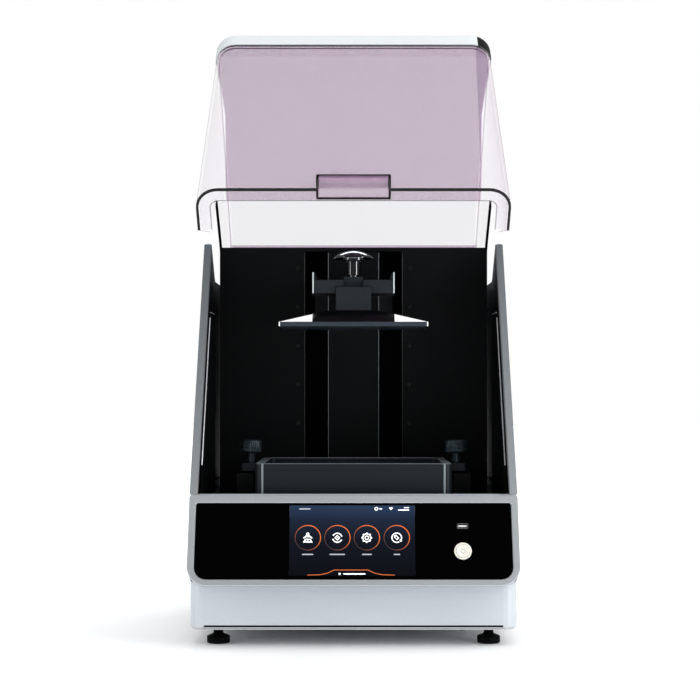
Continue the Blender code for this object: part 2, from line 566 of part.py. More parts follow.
def make_works():
    """The power supply, main board, exhaust fan and mains inlet inside the base."""
    floor = BASE_BOTTOM + BASE_WALL + GAP
    block("power_supply", (-185, 120, floor), (-125, 320, -112), METAL, edge=1.5, segments=1)
    board = block("main_board", (80, 240, -152), (185, 380, -150), BOARD)
    for k, (x, y, size, tall) in enumerate(((110, 290, 14, 6), (150, 340, 9, 10), (160, 270, 8, 14))):
        join(board, block(f"chip_{k}", (x - size, y - size, -151), (x + size, y + size, -150 + tall)))
    for k, x in enumerate((90, 175)):
        join(board, block(f"standoff_{k}", (x - 3, 250, floor), (x + 3, 256, -151)))
    back = BASE_REAR - BASE_WALL - GAP
    front = back - FAN_DEPTH
    square = oblong(FAN_X - FAN_HALF, FAN_Z - FAN_HALF, FAN_X + FAN_HALF, FAN_Z + FAN_HALF, 5, 2)
    frame = plate("fan_frame", [square, circle(FAN_X, FAN_Z, FAN_HALF - 2, 24)], -back, -front, "front", PLASTIC)
    for angle in (45, 135):
        spoke = block(f"fan_spoke_{angle}", (-FAN_HALF - 0.5, -1.2, -2), (FAN_HALF + 0.5, 1.2, 2))
        spoke.location = Vector((FAN_X, front + 1.3, FAN_Z)) * MM
        spoke.rotation_euler.y = math.radians(angle)
        join(frame, spoke)
    join(frame, rod("fan_stator", (FAN_X, front + 2, FAN_Z), 14, 3.8, "y"))
    middle = (front + 4.5 + back - 2) / 2
    rotor = rod("fan_rotor", (FAN_X, middle, FAN_Z), 15, back - front - 6.5, "y", PLASTIC)
    for k in range(7):
        blade = block(f"fan_blade_{k}", (12, -5.5, -0.8), (FAN_HALF - 3.5, 5.5, 0.8))
        turn = Matrix.Rotation(2 * math.pi * k / 7, 4, "Y") @ Matrix.Rotation(math.radians(35), 4, "X")
        blade.matrix_local = Matrix.Translation(Vector((FAN_X, middle, FAN_Z)) * MM) @ turn
        join(rotor, blade)
    x, z = INLET_X, POWER_Z
    inlet = block("mains_inlet", (x - 13.7, 404, z - 9.7), (x + 13.7, BASE_REAR + 1.5, z + 9.7), PLASTIC)
    cut(inlet, block("inlet_room", (x - 11, 410, z - 7.5), (x + 11, 440, z + 7.5)))
    for k, (pin_x, pin_z) in enumerate(((-7, 0.5), (0, 2.5), (7, 0.5))):
        pin = (x + pin_x - 1, 408, z + pin_z - 2), (x + pin_x + 1, 424, z + pin_z + 2)
        join(inlet, block(f"inlet_pin_{k}", *pin))
    pivot = empty("switch_pivot", (SWITCH_X, SWITCH_Y, z), SWITCH_TILT, datum)
    block("power_switch", (-6.6, -6, -8.5), (6.6, 6, 8.5), PLASTIC, pivot, 0.8, 1)


def hood_form(name, grow, low, reach, surface=None):
    """The hood's closed outer form moved out by grow: low and reach are how far down and back it runs."""
    run, top = HOOD_LEAN_RUN, HOOD_TOP
    tilt = math.hypot(run, top)
    shift = -grow * tilt / top
    front_low = shift + low * run / top
    front_top = shift + (top + grow) * run / top
    outline = [(front_low, low), (reach, low), (reach, top + grow), (front_top, top + grow)]
    half = HOOD_HALF + grow
    mesh = outline_mesh(name, [outline], -half, half, "side")
    work = bmesh.new()
    work.from_mesh(mesh)
    bmesh.ops.translate(work, vec=(0, -HINGE_Y * MM, -HINGE_Z * MM), verts=work.verts)
    bends = []
    for edge in work.edges:
        a, b = (vertex.co for vertex in edge.verts)
        upright = abs(a.z - b.z) > 0.01
        leading = max(a.y, b.y) < (front_top - HINGE_Y + 1) * MM
        if upright and leading and abs(a.x - b.x) < 1e-6:
            bends.append(edge)
    bend = HOOD_BEND + grow
    bmesh.ops.bevel(work, geom=bends, offset=bend * MM, segments=7, profile=0.5, affect="EDGES")
    return register(name, mesh_from(work, name), surface, hood_pivot)


def hood_outline(name, outlines, low, high, surface=None):
    drop = Vector((HINGE_Y, HINGE_Z))
    moved = [[Vector(at) - drop for at in outline] for outline in outlines]
    return plate(name, moved, low, high, "side", surface, hood_pivot)


def make_hood():
    """The clear hood: front, top and two cut-away sides that end in round lobes on the hinge pins."""
    wall, half = HOOD_WALL, HOOD_HALF
    base = 0.6
    hood = hood_form("hood_shell", 0, base, HINGE_Y + HINGE_LOBE, ACRYLIC)
    room = hood_form("hood_room", -wall, base + wall, 460)
    lip = hood_form("hood_lip_way", -wall - HOOD_LIP, base - 20, 460)
    cut(hood, room, lip)
    # What is cut from the sides: the space under the free edge, and behind the top and round the lobes.
    under = rounded(
        [(62, -30, 0), (62, 0, 0), (159, 123, 60), (168, 219, 22), (277, 239.5, 90),
         (HINGE_Y, HINGE_Z - HINGE_LOBE, 0), (460, HINGE_Z - HINGE_LOBE, 0), (460, -30, 0)], 5,
    )
    behind = [(HINGE_Y, HINGE_Z - HINGE_LOBE - 1), (HINGE_Y, HINGE_Z - HINGE_LOBE)]
    for k in range(1, 9):
        turn = math.radians(-90 + 180 / 8 * k)
        radius = HINGE_LOBE
        behind.append((HINGE_Y + radius * math.cos(turn), HINGE_Z + radius * math.sin(turn)))
    behind += [(HOOD_REAR, HINGE_Z + HINGE_LOBE + 14), (HOOD_REAR, 430), (470, 430),
               (470, HINGE_Z - HINGE_LOBE - 1)]
    cut(hood, hood_outline("hood_under", [under], -220, 220), hood_outline("hood_behind", [behind], -220, 220))
    cut(hood, rod("hood_pin_hole", (0, 0, 0), HINGE_PIN + GAP, 420, "x", parent=hood_pivot, sides=20))

    outer = hood_form("hood_band", GAP + BAND_THICK, HOOD_TOP - BAND_TALL, 62, SILVER)
    inner = hood_form("band_room", GAP, HOOD_TOP - BAND_TALL - 10, 120)
    cut(outer, inner)

    lean = math.degrees(math.atan2(HOOD_LEAN_RUN, HOOD_TOP))
    rim = empty("rim_datum", (0, -HINGE_Y, -HINGE_Z), -lean, hood_pivot)
    out, tall, thick = GRIP_OUT, GRIP_TALL, GRIP_WALL
    grip = block("hood_grip", (-GRIP_HALF, -out, 1.0), (GRIP_HALF, -GAP, tall), ACRYLIC, rim, 1.2, 1)
    cut(grip, block("grip_room", (-GRIP_HALF + thick, -out + thick, -5), (GRIP_HALF - thick, -GAP - 2.5, tall - thick),
                    parent=rim))
    for name, sign in (("left", -1), ("right", 1)):
        middle = sign * (TOWER_HALF + PANEL_INNER) / 2
        length = PANEL_INNER - TOWER_HALF - 2 * GAP
        rod(f"hinge_pin_{name}", (middle, HINGE_Y, HINGE_Z), HINGE_PIN, length, "x", METAL, sides=20)


make_base()
make_feet()
make_console()
make_sides()
make_tower()
make_vat()
make_light_engine()
make_lift()
make_platform()
make_works()
make_hood()
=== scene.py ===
"""Looks for the desktop resin printer: finishes, lit display, turned and knurled pieces, studio and camera."""
import json
import math

import bmesh
import bpy
from mathutils import Matrix, Vector


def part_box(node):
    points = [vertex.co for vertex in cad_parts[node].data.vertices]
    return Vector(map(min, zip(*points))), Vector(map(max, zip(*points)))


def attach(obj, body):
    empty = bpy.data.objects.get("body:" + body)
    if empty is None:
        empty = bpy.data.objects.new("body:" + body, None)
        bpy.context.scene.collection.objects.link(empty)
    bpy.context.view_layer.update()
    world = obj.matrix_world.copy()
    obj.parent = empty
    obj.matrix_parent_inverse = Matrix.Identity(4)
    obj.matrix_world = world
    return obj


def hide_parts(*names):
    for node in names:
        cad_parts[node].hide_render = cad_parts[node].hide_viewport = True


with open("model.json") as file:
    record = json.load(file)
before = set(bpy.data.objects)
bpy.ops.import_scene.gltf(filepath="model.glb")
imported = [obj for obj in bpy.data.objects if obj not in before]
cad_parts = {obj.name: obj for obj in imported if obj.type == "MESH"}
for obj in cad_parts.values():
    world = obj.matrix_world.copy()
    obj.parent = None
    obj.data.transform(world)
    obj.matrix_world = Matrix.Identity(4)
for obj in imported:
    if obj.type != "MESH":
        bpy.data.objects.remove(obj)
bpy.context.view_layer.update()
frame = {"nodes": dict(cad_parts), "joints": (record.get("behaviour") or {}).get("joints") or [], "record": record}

MM = 0.001
NODES = frame["nodes"]
ROOT = "printer_body"
CONSOLE_LEAN = math.radians(21.4)
HOOD_OPEN = math.radians(46.9)
# Millimetres from DATUM, except that the button and the USB socket are counted along the console's face.
# FRAME_SLOPE is how far back the side frames' front edge runs for each millimetre up.
HINGE_BACK, HINGE_UP = 400.0, 250.0
BUTTON_X, BUTTON_Y = 133.7, -71.5
USB_X, USB_Y = 134.0, -39.8
FRAME_FRONT, FRAME_SLOPE = 38.0, 0.6
CHANNEL_HALF, SCREW_X, SCREW_LOW, SCREW_PITCH, SCREW_COUNT = 67.9, 77.7, 84, 54, 5
STRIPE_HALF, STRIPE_LOW, STRIPE_HIGH = 184.6, -163.0, -161.0

HINGE = Vector(next(joint["pos_m"] for joint in frame["joints"] if joint["name"] == "hood_hinge"))
HINGE.x = 0.0
# The console's top front edge: most places below are counted from it, in millimetres.
DATUM = HINGE - Vector((0, HINGE_BACK, HINGE_UP)) * MM
UPRIGHT = Matrix.Translation(DATUM)
CONSOLE = UPRIGHT @ Matrix.Rotation(math.pi / 2 - CONSOLE_LEAN, 4, "X")


def middle_of(node):
    low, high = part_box(node)
    return (low + high) / 2


def height_of(node):
    low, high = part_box(node)
    return (high.z - low.z) / MM


def standing_on(node):
    """A place at the middle of the node's underside."""
    middle = middle_of(node)
    return Matrix.Translation((middle.x, middle.y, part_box(node)[0].z))


# ---------------------------------------------------------------- shader helpers


class Shader:
    """A node tree being built: each method adds a node and returns its output."""

    def __init__(self, name):
        self.material = bpy.data.materials.new(name)
        self.material.use_nodes = True
        self.tree = self.material.node_tree
        self.out = self.tree.nodes["Principled BSDF"]
        self.coords = self.tree.nodes.new("ShaderNodeTexCoord")

    def link(self, source, target):
        if hasattr(source, "is_linked"):
            self.tree.links.new(source, target)
        else:
            target.default_value = source

    def set(self, **values):
        for key, value in values.items():
            self.link(value, self.out.inputs[key.replace("_", " ")])

    def scaled(self, scale):
        mapping = self.tree.nodes.new("ShaderNodeMapping")
        self.link(self.coords.outputs["Object"], mapping.inputs["Vector"])
        mapping.inputs["Scale"].default_value = scale
        return mapping.outputs["Vector"]

    def noise(self, scale, detail=3.0, stretch=(1, 1, 1)):
        node = self.tree.nodes.new("ShaderNodeTexNoise")
        self.link(self.scaled(stretch), node.inputs["Vector"])
        node.inputs["Scale"].default_value = scale
        node.inputs["Detail"].default_value = detail
        return node.outputs["Fac"]

    def ramp(self, factor, *stops):
        node = self.tree.nodes.new("ShaderNodeValToRGB")
        self.link(factor, node.inputs["Fac"])
        ramp = node.color_ramp
        while len(ramp.elements) < len(stops):
            ramp.elements.new(0.5)
        for element, (at, value) in zip(ramp.elements, stops):
            element.position = at
            element.color = (*value, 1) if isinstance(value, tuple) else (value, value, value, 1)
        return node.outputs["Color"]

    def math(self, operation, first, second=0.0, third=0.0):
        node = self.tree.nodes.new("ShaderNodeMath")
        node.operation = operation
        for socket, value in zip(node.inputs, (first, second, third)):
            self.link(value, socket)
        return node.outputs[0]

    def mix(self, factor, first, second):
        node = self.tree.nodes.new("ShaderNodeMix")
        node.data_type = "RGBA"
        for name, value in (("Factor", factor), ("A", first), ("B", second)):
            sockets = [s for s in node.inputs if s.name == name and s.enabled]
            value = (*value, 1) if isinstance(value, tuple) else value
            self.link(value, sockets[-1 if name != "Factor" else 0])
        return next(s for s in node.outputs if s.enabled)

    def axis(self, letter, source="Object"):
        node = self.tree.nodes.new("ShaderNodeSeparateXYZ")
        if source == "Normal":
            geometry = self.tree.nodes.new("ShaderNodeNewGeometry")
            self.link(geometry.outputs["Normal"], node.inputs[0])
        else:
            self.link(self.coords.outputs[source], node.inputs[0])
        return node.outputs[letter]

    def along(self, origin, direction):
        """Metres from origin along direction, on the piece at rest."""
        node = self.tree.nodes.new("ShaderNodeVectorMath")
        node.operation = "SUBTRACT"
        self.link(self.coords.outputs["Object"], node.inputs[0])
        node.inputs[1].default_value = origin
        dot = self.tree.nodes.new("ShaderNodeVectorMath")
        dot.operation = "DOT_PRODUCT"
        self.link(node.outputs[0], dot.inputs[0])
        dot.inputs[1].default_value = direction
        return dot.outputs["Value"]

    def below(self, value, limit):
        return self.math("LESS_THAN", value, limit)

    def above(self, value, limit):
        return self.math("GREATER_THAN", value, limit)

    def both(self, first, second):
        return self.math("MULTIPLY", first, second)

    def either(self, first, second):
        return self.math("MAXIMUM", first, second)

    def bump(self, height, strength):
        node = self.tree.nodes.new("ShaderNodeBump")
        self.link(height, node.inputs["Height"])
        node.inputs["Strength"].default_value = strength
        node.inputs["Distance"].default_value = 0.2 * MM
        self.link(node.outputs[0], self.out.inputs["Normal"])


def finish(name, colour, roughness, metallic=0.0, grain=900.0, vary=0.06, bump=0.12, stretch=(1, 1, 1),
           specular=0.5):
    """A solid finish with grain in its colour, gloss and height."""
    shader = Shader(name)
    fine = shader.noise(grain, 3, stretch)
    broad = shader.noise(7.0, 2)
    low = tuple(max(0.0, c * (1 - vary)) for c in colour)
    high = tuple(min(1.0, c * (1 + vary)) for c in colour)
    blend = shader.math("MULTIPLY_ADD", fine, 0.7, shader.math("MULTIPLY", broad, 0.3))
    shader.set(Base_Color=shader.ramp(blend, (0.3, low), (0.7, high)))
    shader.set(Roughness=shader.ramp(blend, (0.25, max(0.0, roughness - 0.06)), (0.75, roughness + 0.06)))
    shader.set(Metallic=metallic, Specular_IOR_Level=specular)
    shader.bump(fine, bump)
    return shader


def masked(shader, mask, colour, second):
    """Where mask is 1 the piece is second, and elsewhere colour."""
    shader.set(Base_Color=shader.mix(mask, colour, second))
    return shader.material


BLACK_PAINT = (0.006, 0.007, 0.008)
PAINT = (0.505, 0.54, 0.58)
SILVER = (0.47, 0.50, 0.525)
VAT_COLOUR = (0.0062, 0.0102, 0.0142)
ARM_COLOUR = (0.011, 0.016, 0.020)

MATERIALS = {
    "grey_white_paint": finish("grey_white_paint", PAINT, 0.42, 0.15, 1500, 0.07, 0.10),
    "silver_paint": finish("silver_paint", SILVER, 0.34, 0.55, 1400, 0.06, 0.08),
    "black_powder_coat": finish("black_powder_coat", BLACK_PAINT, 0.55, 0.0, 1100, 0.3, 0.25, specular=0.12),
    "black_glass": finish("black_glass", (0.0003, 0.0003, 0.0004), 0.09, 0.0, 40, 0.1, 0.0, specular=0.06),
    "machined_metal": finish("machined_metal", (0.55, 0.56, 0.58), 0.3, 1.0, 500, 0.1, 0.1, (1, 14, 14)),
    "bearing_steel": finish("bearing_steel", (0.5, 0.5, 0.52), 0.22, 1.0, 700, 0.08, 0.08, (14, 14, 1)),
    "polished_metal": finish("polished_metal", (0.10, 0.105, 0.11), 0.09, 1.0, 60, 0.03, 0.0),
    "anodised_blue_black": finish("anodised_blue_black", (0.018, 0.03, 0.038), 0.32, 0.55, 1200, 0.15, 0.12),
    "foot_rubber": finish("foot_rubber", (0.0012, 0.0012, 0.0014), 0.5, 0.0, 900, 0.2, 0.2, specular=0.06),
    "black_plastic": finish("black_plastic", (0.012, 0.012, 0.013), 0.45, 0.0, 900, 0.2, 0.2),
    "circuit_board": finish("circuit_board", (0.01, 0.1, 0.04), 0.4, 0.0, 120, 0.4, 0.1),
}
MATERIALS = {slot: shader.material for slot, shader in MATERIALS.items()}


def film_material():
    shader = finish("clear_film", (0.75, 0.78, 0.8), 0.08, 0.0, 20, 0.03, 0.02)
    shader.set(Alpha=0.35)
    return shader.material


def screen_material():
    """A lit panel: navy above, fading to black at the bottom."""
    shader = Shader("screen")
    low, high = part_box("display_panel")
    height = shader.math("DIVIDE", shader.math("SUBTRACT", shader.axis("Z"), low.z), high.z - low.z)
    glow = shader.math("MULTIPLY_ADD", shader.noise(9.0, 2), 0.14, shader.math("SUBTRACT", height, 0.07))
    colour = shader.ramp(glow, (0.0, (0.0028, 0.0035, 0.006)), (0.5, (0.0062, 0.0082, 0.0145)),
                         (0.78, (0.013, 0.021, 0.043)), (1.0, (0.025, 0.045, 0.098)))
    shader.set(Base_Color=(0.0005, 0.0005, 0.0006, 1), Emission_Color=colour, Emission_Strength=1.0, Roughness=0.12,
               Specular_IOR_Level=0.1)
    return shader.material


# The raised hood: RIM is where DATUM is carried when the hood opens, PANEL_UP and PANEL_OUT run along and out of
# its front panel, and HOOD_UP and HOOD_BACK run along its height and depth.
RIM = HINGE + Matrix.Rotation(-HOOD_OPEN, 3, "X") @ (DATUM - HINGE)
LEAN_RUN, HOOD_TOP = 30.0, 402.0
PANEL_UP = Matrix.Rotation(-HOOD_OPEN, 3, "X") @ Vector((0, LEAN_RUN, HOOD_TOP)).normalized()
PANEL_OUT = Vector((0, -PANEL_UP.z, PANEL_UP.y))
HOOD_UP = Matrix.Rotation(-HOOD_OPEN, 3, "X") @ Vector((0, 0, 1))
HOOD_BACK = Matrix.Rotation(-HOOD_OPEN, 3, "X") @ Vector((0, 1, 0))
HOOD_HALF, HOOD_BEND = 0.1915, 0.028
# Where its painted lines and tints start and stop, in metres. The spread and the flare are metres per metre.
RIM_LINE, RIM_INSET, GRIP_GAP = 0.0026, 0.0034, 0.0440
NOTCH_FRONT, NOTCH_REAR, NOTCH_TOP = 0.178, 0.320, 0.34
HOOD_END, ROOF_START, PANEL_REAR = 0.3985, 0.3965, -0.040
SEAM_LOW, SEAM_HIGH, SEAM_REAR = 0.3732, 0.3775, -0.030
CUT_INNER, CUT_OUTER, CUT_FACING = 0.1876, 0.1914, 0.35
RIDGE_RISE, RIDGE_SIDE, RIDGE_SHARE = 0.4008, 0.1895, 0.75
TINT_FOOT, TINT_SPREAD, TINT_BEND, TINT_FLARE = 0.153, 0.0646, 0.185, 0.075
# Painted dark: stands for light bent in the acrylic's edges, on the hood and its grip.
PAINTED_EDGE_DARK = (0.0015, 0.0015, 0.002)


def round_the_bend(shader, out):
    """Metres out from the line that the hood's bends turn about, the same all round the rim."""
    side = shader.math("SUBTRACT", shader.math("ABSOLUTE", shader.axis("X")), HOOD_HALF - HOOD_BEND)
    across = shader.math("MAXIMUM", side, 0.0)
    forward = shader.math("MAXIMUM", shader.math("ADD", out, HOOD_BEND), 0.0)
    squares = shader.math("ADD", shader.both(across, across), shader.both(forward, forward))
    return shader.math("SQRT", squares)


def hood_material():
    """Clear violet acrylic, almost clear elsewhere but on its front panel, with painted light: black lines at its rim,
    seam and cut edges stand for light bent in its edges, and near-white cut faces, grey and deeper violet edge bands
    and a darker right side are painted highlight and shade.
    """
    shader = Shader("violet_acrylic")
    side = shader.math("ABSOLUTE", shader.axis("X"))
    up = shader.along(tuple(RIM), tuple(PANEL_UP))
    out = shader.along(tuple(RIM), tuple(PANEL_OUT))
    turn = round_the_bend(shader, out)
    facing = shader.math("ABSOLUTE", shader.axis("X", "Normal"))

    rise = shader.along(tuple(RIM), tuple(HOOD_UP))
    back = shader.along(tuple(RIM), tuple(HOOD_BACK))
    # Painted light: the rim, the seam and the cut edges by the notch are black for light bent in the acrylic's edges.
    rim = shader.both(shader.both(shader.below(rise, RIM_LINE), shader.above(side, GRIP_GAP)),
                      shader.above(turn, HOOD_BEND - RIM_INSET))
    seam = shader.both(shader.both(shader.above(up, SEAM_LOW), shader.below(up, SEAM_HIGH)),
                       shader.above(out, SEAM_REAR))
    cut = shader.both(shader.both(shader.above(side, CUT_INNER), shader.below(side, CUT_OUTER)),
                      shader.below(facing, CUT_FACING))
    notch = shader.both(shader.both(shader.above(back, NOTCH_FRONT), shader.below(back, NOTCH_REAR)),
                        shader.below(rise, NOTCH_TOP))
    black = shader.either(shader.either(rim, seam), shader.both(cut, notch))
    # Painted edge shade: a deeper violet along the roof's side ridges and over its rear end.
    ridge = shader.both(shader.above(rise, RIDGE_RISE), shader.above(side, RIDGE_SIDE))
    tail = shader.either(shader.above(back, HOOD_END), shader.math("MULTIPLY", ridge, RIDGE_SHARE))
    # Painted edge shade: grey along the lip and the side silhouette.
    lip = shader.both(shader.below(rise, 0.0012), shader.below(turn, 0.0114))
    silhouette = shader.both(shader.above(side, HOOD_HALF - 0.0004),
                             shader.both(shader.above(out, -0.0295), shader.below(out, -0.026)))
    grey = shader.either(lip, silhouette)

    flare = shader.math("MAXIMUM", shader.math("SUBTRACT", up, TINT_BEND), 0.0)
    flare = shader.math("MULTIPLY", flare, TINT_FLARE)
    limit = shader.math("ADD", shader.math("MULTIPLY_ADD", up, TINT_SPREAD, TINT_FOOT), flare)
    past = shader.ramp(shader.math("MULTIPLY", shader.math("SUBTRACT", side, limit), 600.0), (0.0, 0.0), (1.0, 1.0))
    roof = shader.above(up, ROOF_START)
    clear = shader.either(shader.either(past, roof), shader.below(out, PANEL_REAR))
    # Painted shade on the right side only: a darker violet wedge, and a pink wash from the flank mask.
    inner = shader.above(shader.axis("X"), shader.math("MULTIPLY_ADD", up, 0.0405, 0.1542))
    wedge = shader.both(inner, shader.math("SUBTRACT", 1.0, clear))
    sheet = shader.both(roof, shader.below(side, 0.1875))
    flank = shader.ramp(shader.math("MULTIPLY_ADD", out, 9.0, 1.2), (0.0, 0.0), (1.0, 1.0))
    flank = shader.both(shader.above(shader.axis("X"), 0.186), flank)

    cloud = shader.noise(260.0, 2)
    tint = shader.ramp(cloud, (0.3, (0.262, 0.145, 0.255)), (0.7, (0.315, 0.19, 0.305)))
    tint = shader.mix(wedge, tint, (0.2, 0.11, 0.21))
    tint = shader.mix(clear, tint, (0.70, 0.64, 0.73))
    tint = shader.mix(flank, tint, (0.42, 0.2, 0.37))
    tint = shader.mix(sheet, tint, (0.34, 0.33, 0.39))
    # Painted highlight: the cut faces are near-white.
    tint = shader.mix(cut, tint, (0.95, 0.95, 0.96))
    tint = shader.mix(grey, tint, (0.09, 0.085, 0.10))
    tint = shader.mix(tail, tint, (0.24, 0.15, 0.25))
    shader.set(Base_Color=shader.mix(black, tint, PAINTED_EDGE_DARK))
    alpha = shader.mix(wedge, (0.36, 0.36, 0.36), (0.5, 0.5, 0.5))
    alpha = shader.mix(clear, alpha, (0.10, 0.10, 0.10))
    alpha = shader.mix(flank, alpha, (0.17, 0.17, 0.17))
    alpha = shader.mix(sheet, alpha, (0.12, 0.12, 0.12))
    alpha = shader.mix(cut, alpha, (0.55, 0.55, 0.55))
    alpha = shader.mix(shader.either(grey, tail), alpha, (0.6, 0.6, 0.6))
    shader.set(Alpha=shader.mix(black, alpha, (1.0, 1.0, 1.0)))
    shader.set(Roughness=shader.ramp(cloud, (0.2, 0.03), (0.8, 0.07)), Specular_IOR_Level=0.3)
    return shader.material


def grip_material():
    """The same acrylic with painted dark edges round the grip's box, standing for light bent in its edges."""
    shader = Shader("grip_acrylic_painted_edge_dark")
    side = shader.math("ABSOLUTE", shader.axis("X"))
    up = shader.along(tuple(RIM), tuple(PANEL_UP))
    out = shader.along(tuple(RIM), tuple(PANEL_OUT))
    # Painted dark edges: the grip's ends and crown are black for light bent in the acrylic's edges.
    ends = shader.above(side, 0.0418)
    crown = shader.both(shader.above(out, 0.0112), shader.above(up, 0.0070))
    edge = shader.either(ends, crown)
    cloud = shader.noise(260.0, 2)
    tint = shader.ramp(cloud, (0.3, (0.30, 0.17, 0.30)), (0.7, (0.38, 0.23, 0.37)))
    shader.set(Base_Color=shader.mix(edge, tint, PAINTED_EDGE_DARK))
    shader.set(Alpha=shader.mix(edge, (0.3, 0.3, 0.3), (1.0, 1.0, 1.0)), Roughness=0.06)
    return shader.material


def band_material():
    """A pale satin band with a painted dark reflection at its right bend; its top flange is almost clear."""
    shader = finish("band_satin_painted_reflection", (0.72, 0.75, 0.77), 0.3, 0.1, 1200, 0.03, 0.05)
    out = shader.along(tuple(RIM), tuple(PANEL_OUT))
    # Painted reflection: the band is black where it turns round its right bend.
    end = shader.both(shader.above(shader.axis("X"), 0.1725), shader.above(out, -0.024))
    flange = shader.above(shader.along(tuple(RIM), tuple(HOOD_UP)), 0.4021)
    shader.set(Alpha=shader.mix(flange, (1.0, 1.0, 1.0), (0.06, 0.06, 0.06)))
    return masked(shader, end, (0.72, 0.76, 0.78), (0.002, 0.002, 0.002))


def frame_material():
    """Darker silver on the two sloping frames, with painted shade deepening upwards."""
    shader = finish("frame_silver_painted_shade", (0.3, 0.32, 0.34), 0.38, 0.45, 1400, 0.06, 0.08)
    low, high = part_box("side_frame_left")
    height = shader.math("DIVIDE", shader.math("SUBTRACT", shader.axis("Z"), low.z), high.z - low.z)
    # Painted shade: the silver darkens towards the top.
    shader.set(Base_Color=shader.ramp(height, (0.0, (0.30, 0.325, 0.345)), (1.0, (0.145, 0.165, 0.18))))
    return shader.material


def vat_material():
    """Blue-black anodising, with painted highlights where the front corners turn and along the rim."""
    shader = finish("vat_anodised_painted_highlight", VAT_COLOUR, 0.42, 0.15, 1200, 0.2, 0.15, specular=0.22)
    low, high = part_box("vat_body")
    side = shader.math("ABSOLUTE", shader.axis("X"))
    front = shader.below(shader.axis("Y"), low.y + 0.004)
    # Painted highlights: bright bands at the front corners and along the rim.
    corner = shader.both(shader.both(shader.above(side, 0.1139), shader.below(side, 0.1163)), front)
    rim = shader.both(shader.above(shader.axis("Z"), high.z - 0.0007), shader.below(side, 0.1235))
    bright = shader.either(corner, shader.math("MULTIPLY", rim, 0.6))
    return masked(shader, bright, VAT_COLOUR, (0.20, 0.24, 0.26))


def arm_material():
    """Dark slate finish with painted highlights at the ends of the bar."""
    shader = finish("arm_slate_painted_highlight", ARM_COLOUR, 0.45, 0.1, 1200, 0.2, 0.12, specular=0.2)
    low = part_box("arm_bracket")[0]
    side = shader.math("ABSOLUTE", shader.axis("X"))
    # Painted highlight: a bright line at each end of the bar's front face.
    ends = shader.both(shader.both(shader.above(side, 0.0522), shader.below(side, 0.0536)),
                       shader.below(shader.axis("Y"), low.y + 0.0008))
    return masked(shader, ends, ARM_COLOUR, (0.62, 0.68, 0.68))


def platform_material():
    """Machined slopes with painted reflections, bright on the left and right and black in the middle, and slate on the
    edge of the plate.
    """
    shader = finish("platform_finish_painted_reflection", (0.8, 0.81, 0.82), 0.32, 0.1, 400, 0.05, 0.08, (1, 14, 14), specular=0.2)
    low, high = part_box("build_platform")
    side = shader.math("ABSOLUTE", shader.axis("X"))
    above_plate = shader.above(shader.axis("Z"), high.z - 0.0154)
    # Painted reflection: the slopes' left and right parts and the front tips are bright, the rest above the plate
    # black.
    slope = shader.both(shader.above(side, 0.0530), above_plate)
    tips = shader.both(shader.above(side, 0.0945), shader.below(shader.axis("Y"), low.y + 0.003))
    colour = shader.mix(above_plate, (0.026, 0.036, 0.047), (0.0012, 0.0014, 0.0018))
    shader.set(Base_Color=shader.mix(shader.either(slope, tips), colour, (0.88, 0.90, 0.88)))
    return shader.material


def lined_paint(name, inside):
    """The body's paint with a black inner face: inside(shader) is 1 on that face."""
    shader = finish(name, PAINT, 0.5, 0.0, 1500, 0.07, 0.10, specular=0.08)
    return masked(shader, inside(shader), PAINT, (0.002, 0.0023, 0.0025))


def panel_inside(shader):
    return shader.below(shader.math("ABSOLUTE", shader.axis("X")), 0.1985)


def tower_inside(shader):
    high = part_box("tower_cover")[1]
    side = shader.below(shader.math("ABSOLUTE", shader.axis("X")), high.x - 0.0008)
    back = shader.below(shader.axis("Y"), high.y - 0.0008)
    return shader.both(shader.both(side, back), shader.below(shader.axis("Z"), high.z - 0.0008))


def wall_material():
    """Powder-coated back wall."""
    shader = finish("wall_coat", (0.0019, 0.0025, 0.003), 0.6, 0.0, 1300, 0.35, 0.22, specular=0.08)
    return shader.material


MATERIALS["clear_film"] = film_material()
MATERIALS["screen"] = screen_material()
MATERIALS["violet_acrylic"] = hood_material()
SLOT_OF = {part["node"]: part["material_slot"] for part in frame["record"]["subparts"]}
for node_name, node in NODES.items():
    node.data.materials.clear()
    node.data.materials.append(MATERIALS[SLOT_OF[node_name]])
OWN = {
    "hood_grip": grip_material(),
    "hood_band": band_material(),
    "side_frame_left": frame_material(),
    "vat_body": vat_material(),
    "arm_bracket": arm_material(),
    "build_platform": platform_material(),
    "tower_cover": lined_paint("tower_paint", tower_inside),
    "side_panel_left": lined_paint("panel_paint", panel_inside),
    "back_wall": wall_material(),
}
OWN["side_panel_right"] = OWN["side_panel_left"]
OWN["side_frame_right"] = OWN["side_frame_left"]
OWN["platform_neck"] = finish("neck_slate", (0.0105, 0.0155, 0.0195), 0.45, 0.1, 1200, 0.2, 0.12,
                              specular=0.2).material
for node_name in ("column_cover", "side_liner_left", "side_liner_right", "deck_plate"):
    OWN[node_name] = OWN["back_wall"]
for node_name, material in OWN.items():
    NODES[node_name].material_slots[0].material = material


def crisp(node_name, width):
    """Rounds a CAD node's edges by width millimetres."""
    node = NODES[node_name]
    weld = node.modifiers.new("weld", "WELD")
    weld.merge_threshold = 0.00001
    bevel = node.modifiers.new("edges", "BEVEL")
    bevel.width = width * MM
    bevel.segments = 2
    bevel.limit_method = "ANGLE"
    bevel.angle_limit = math.radians(40)


for node_name, width in (("base_shell", 0.5), ("tower_cover", 0.4), ("build_platform", 0.4), ("z_carriage", 0.5),
                         ("power_supply", 0.5), ("console_housing", 0.4), ("bottom_plate", 0.4)):
    crisp(node_name, width)

# ---------------------------------------------------------------- mesh helpers


SMOOTH_UNDER = math.radians(35)  # a face meets its neighbour smoothly below this angle


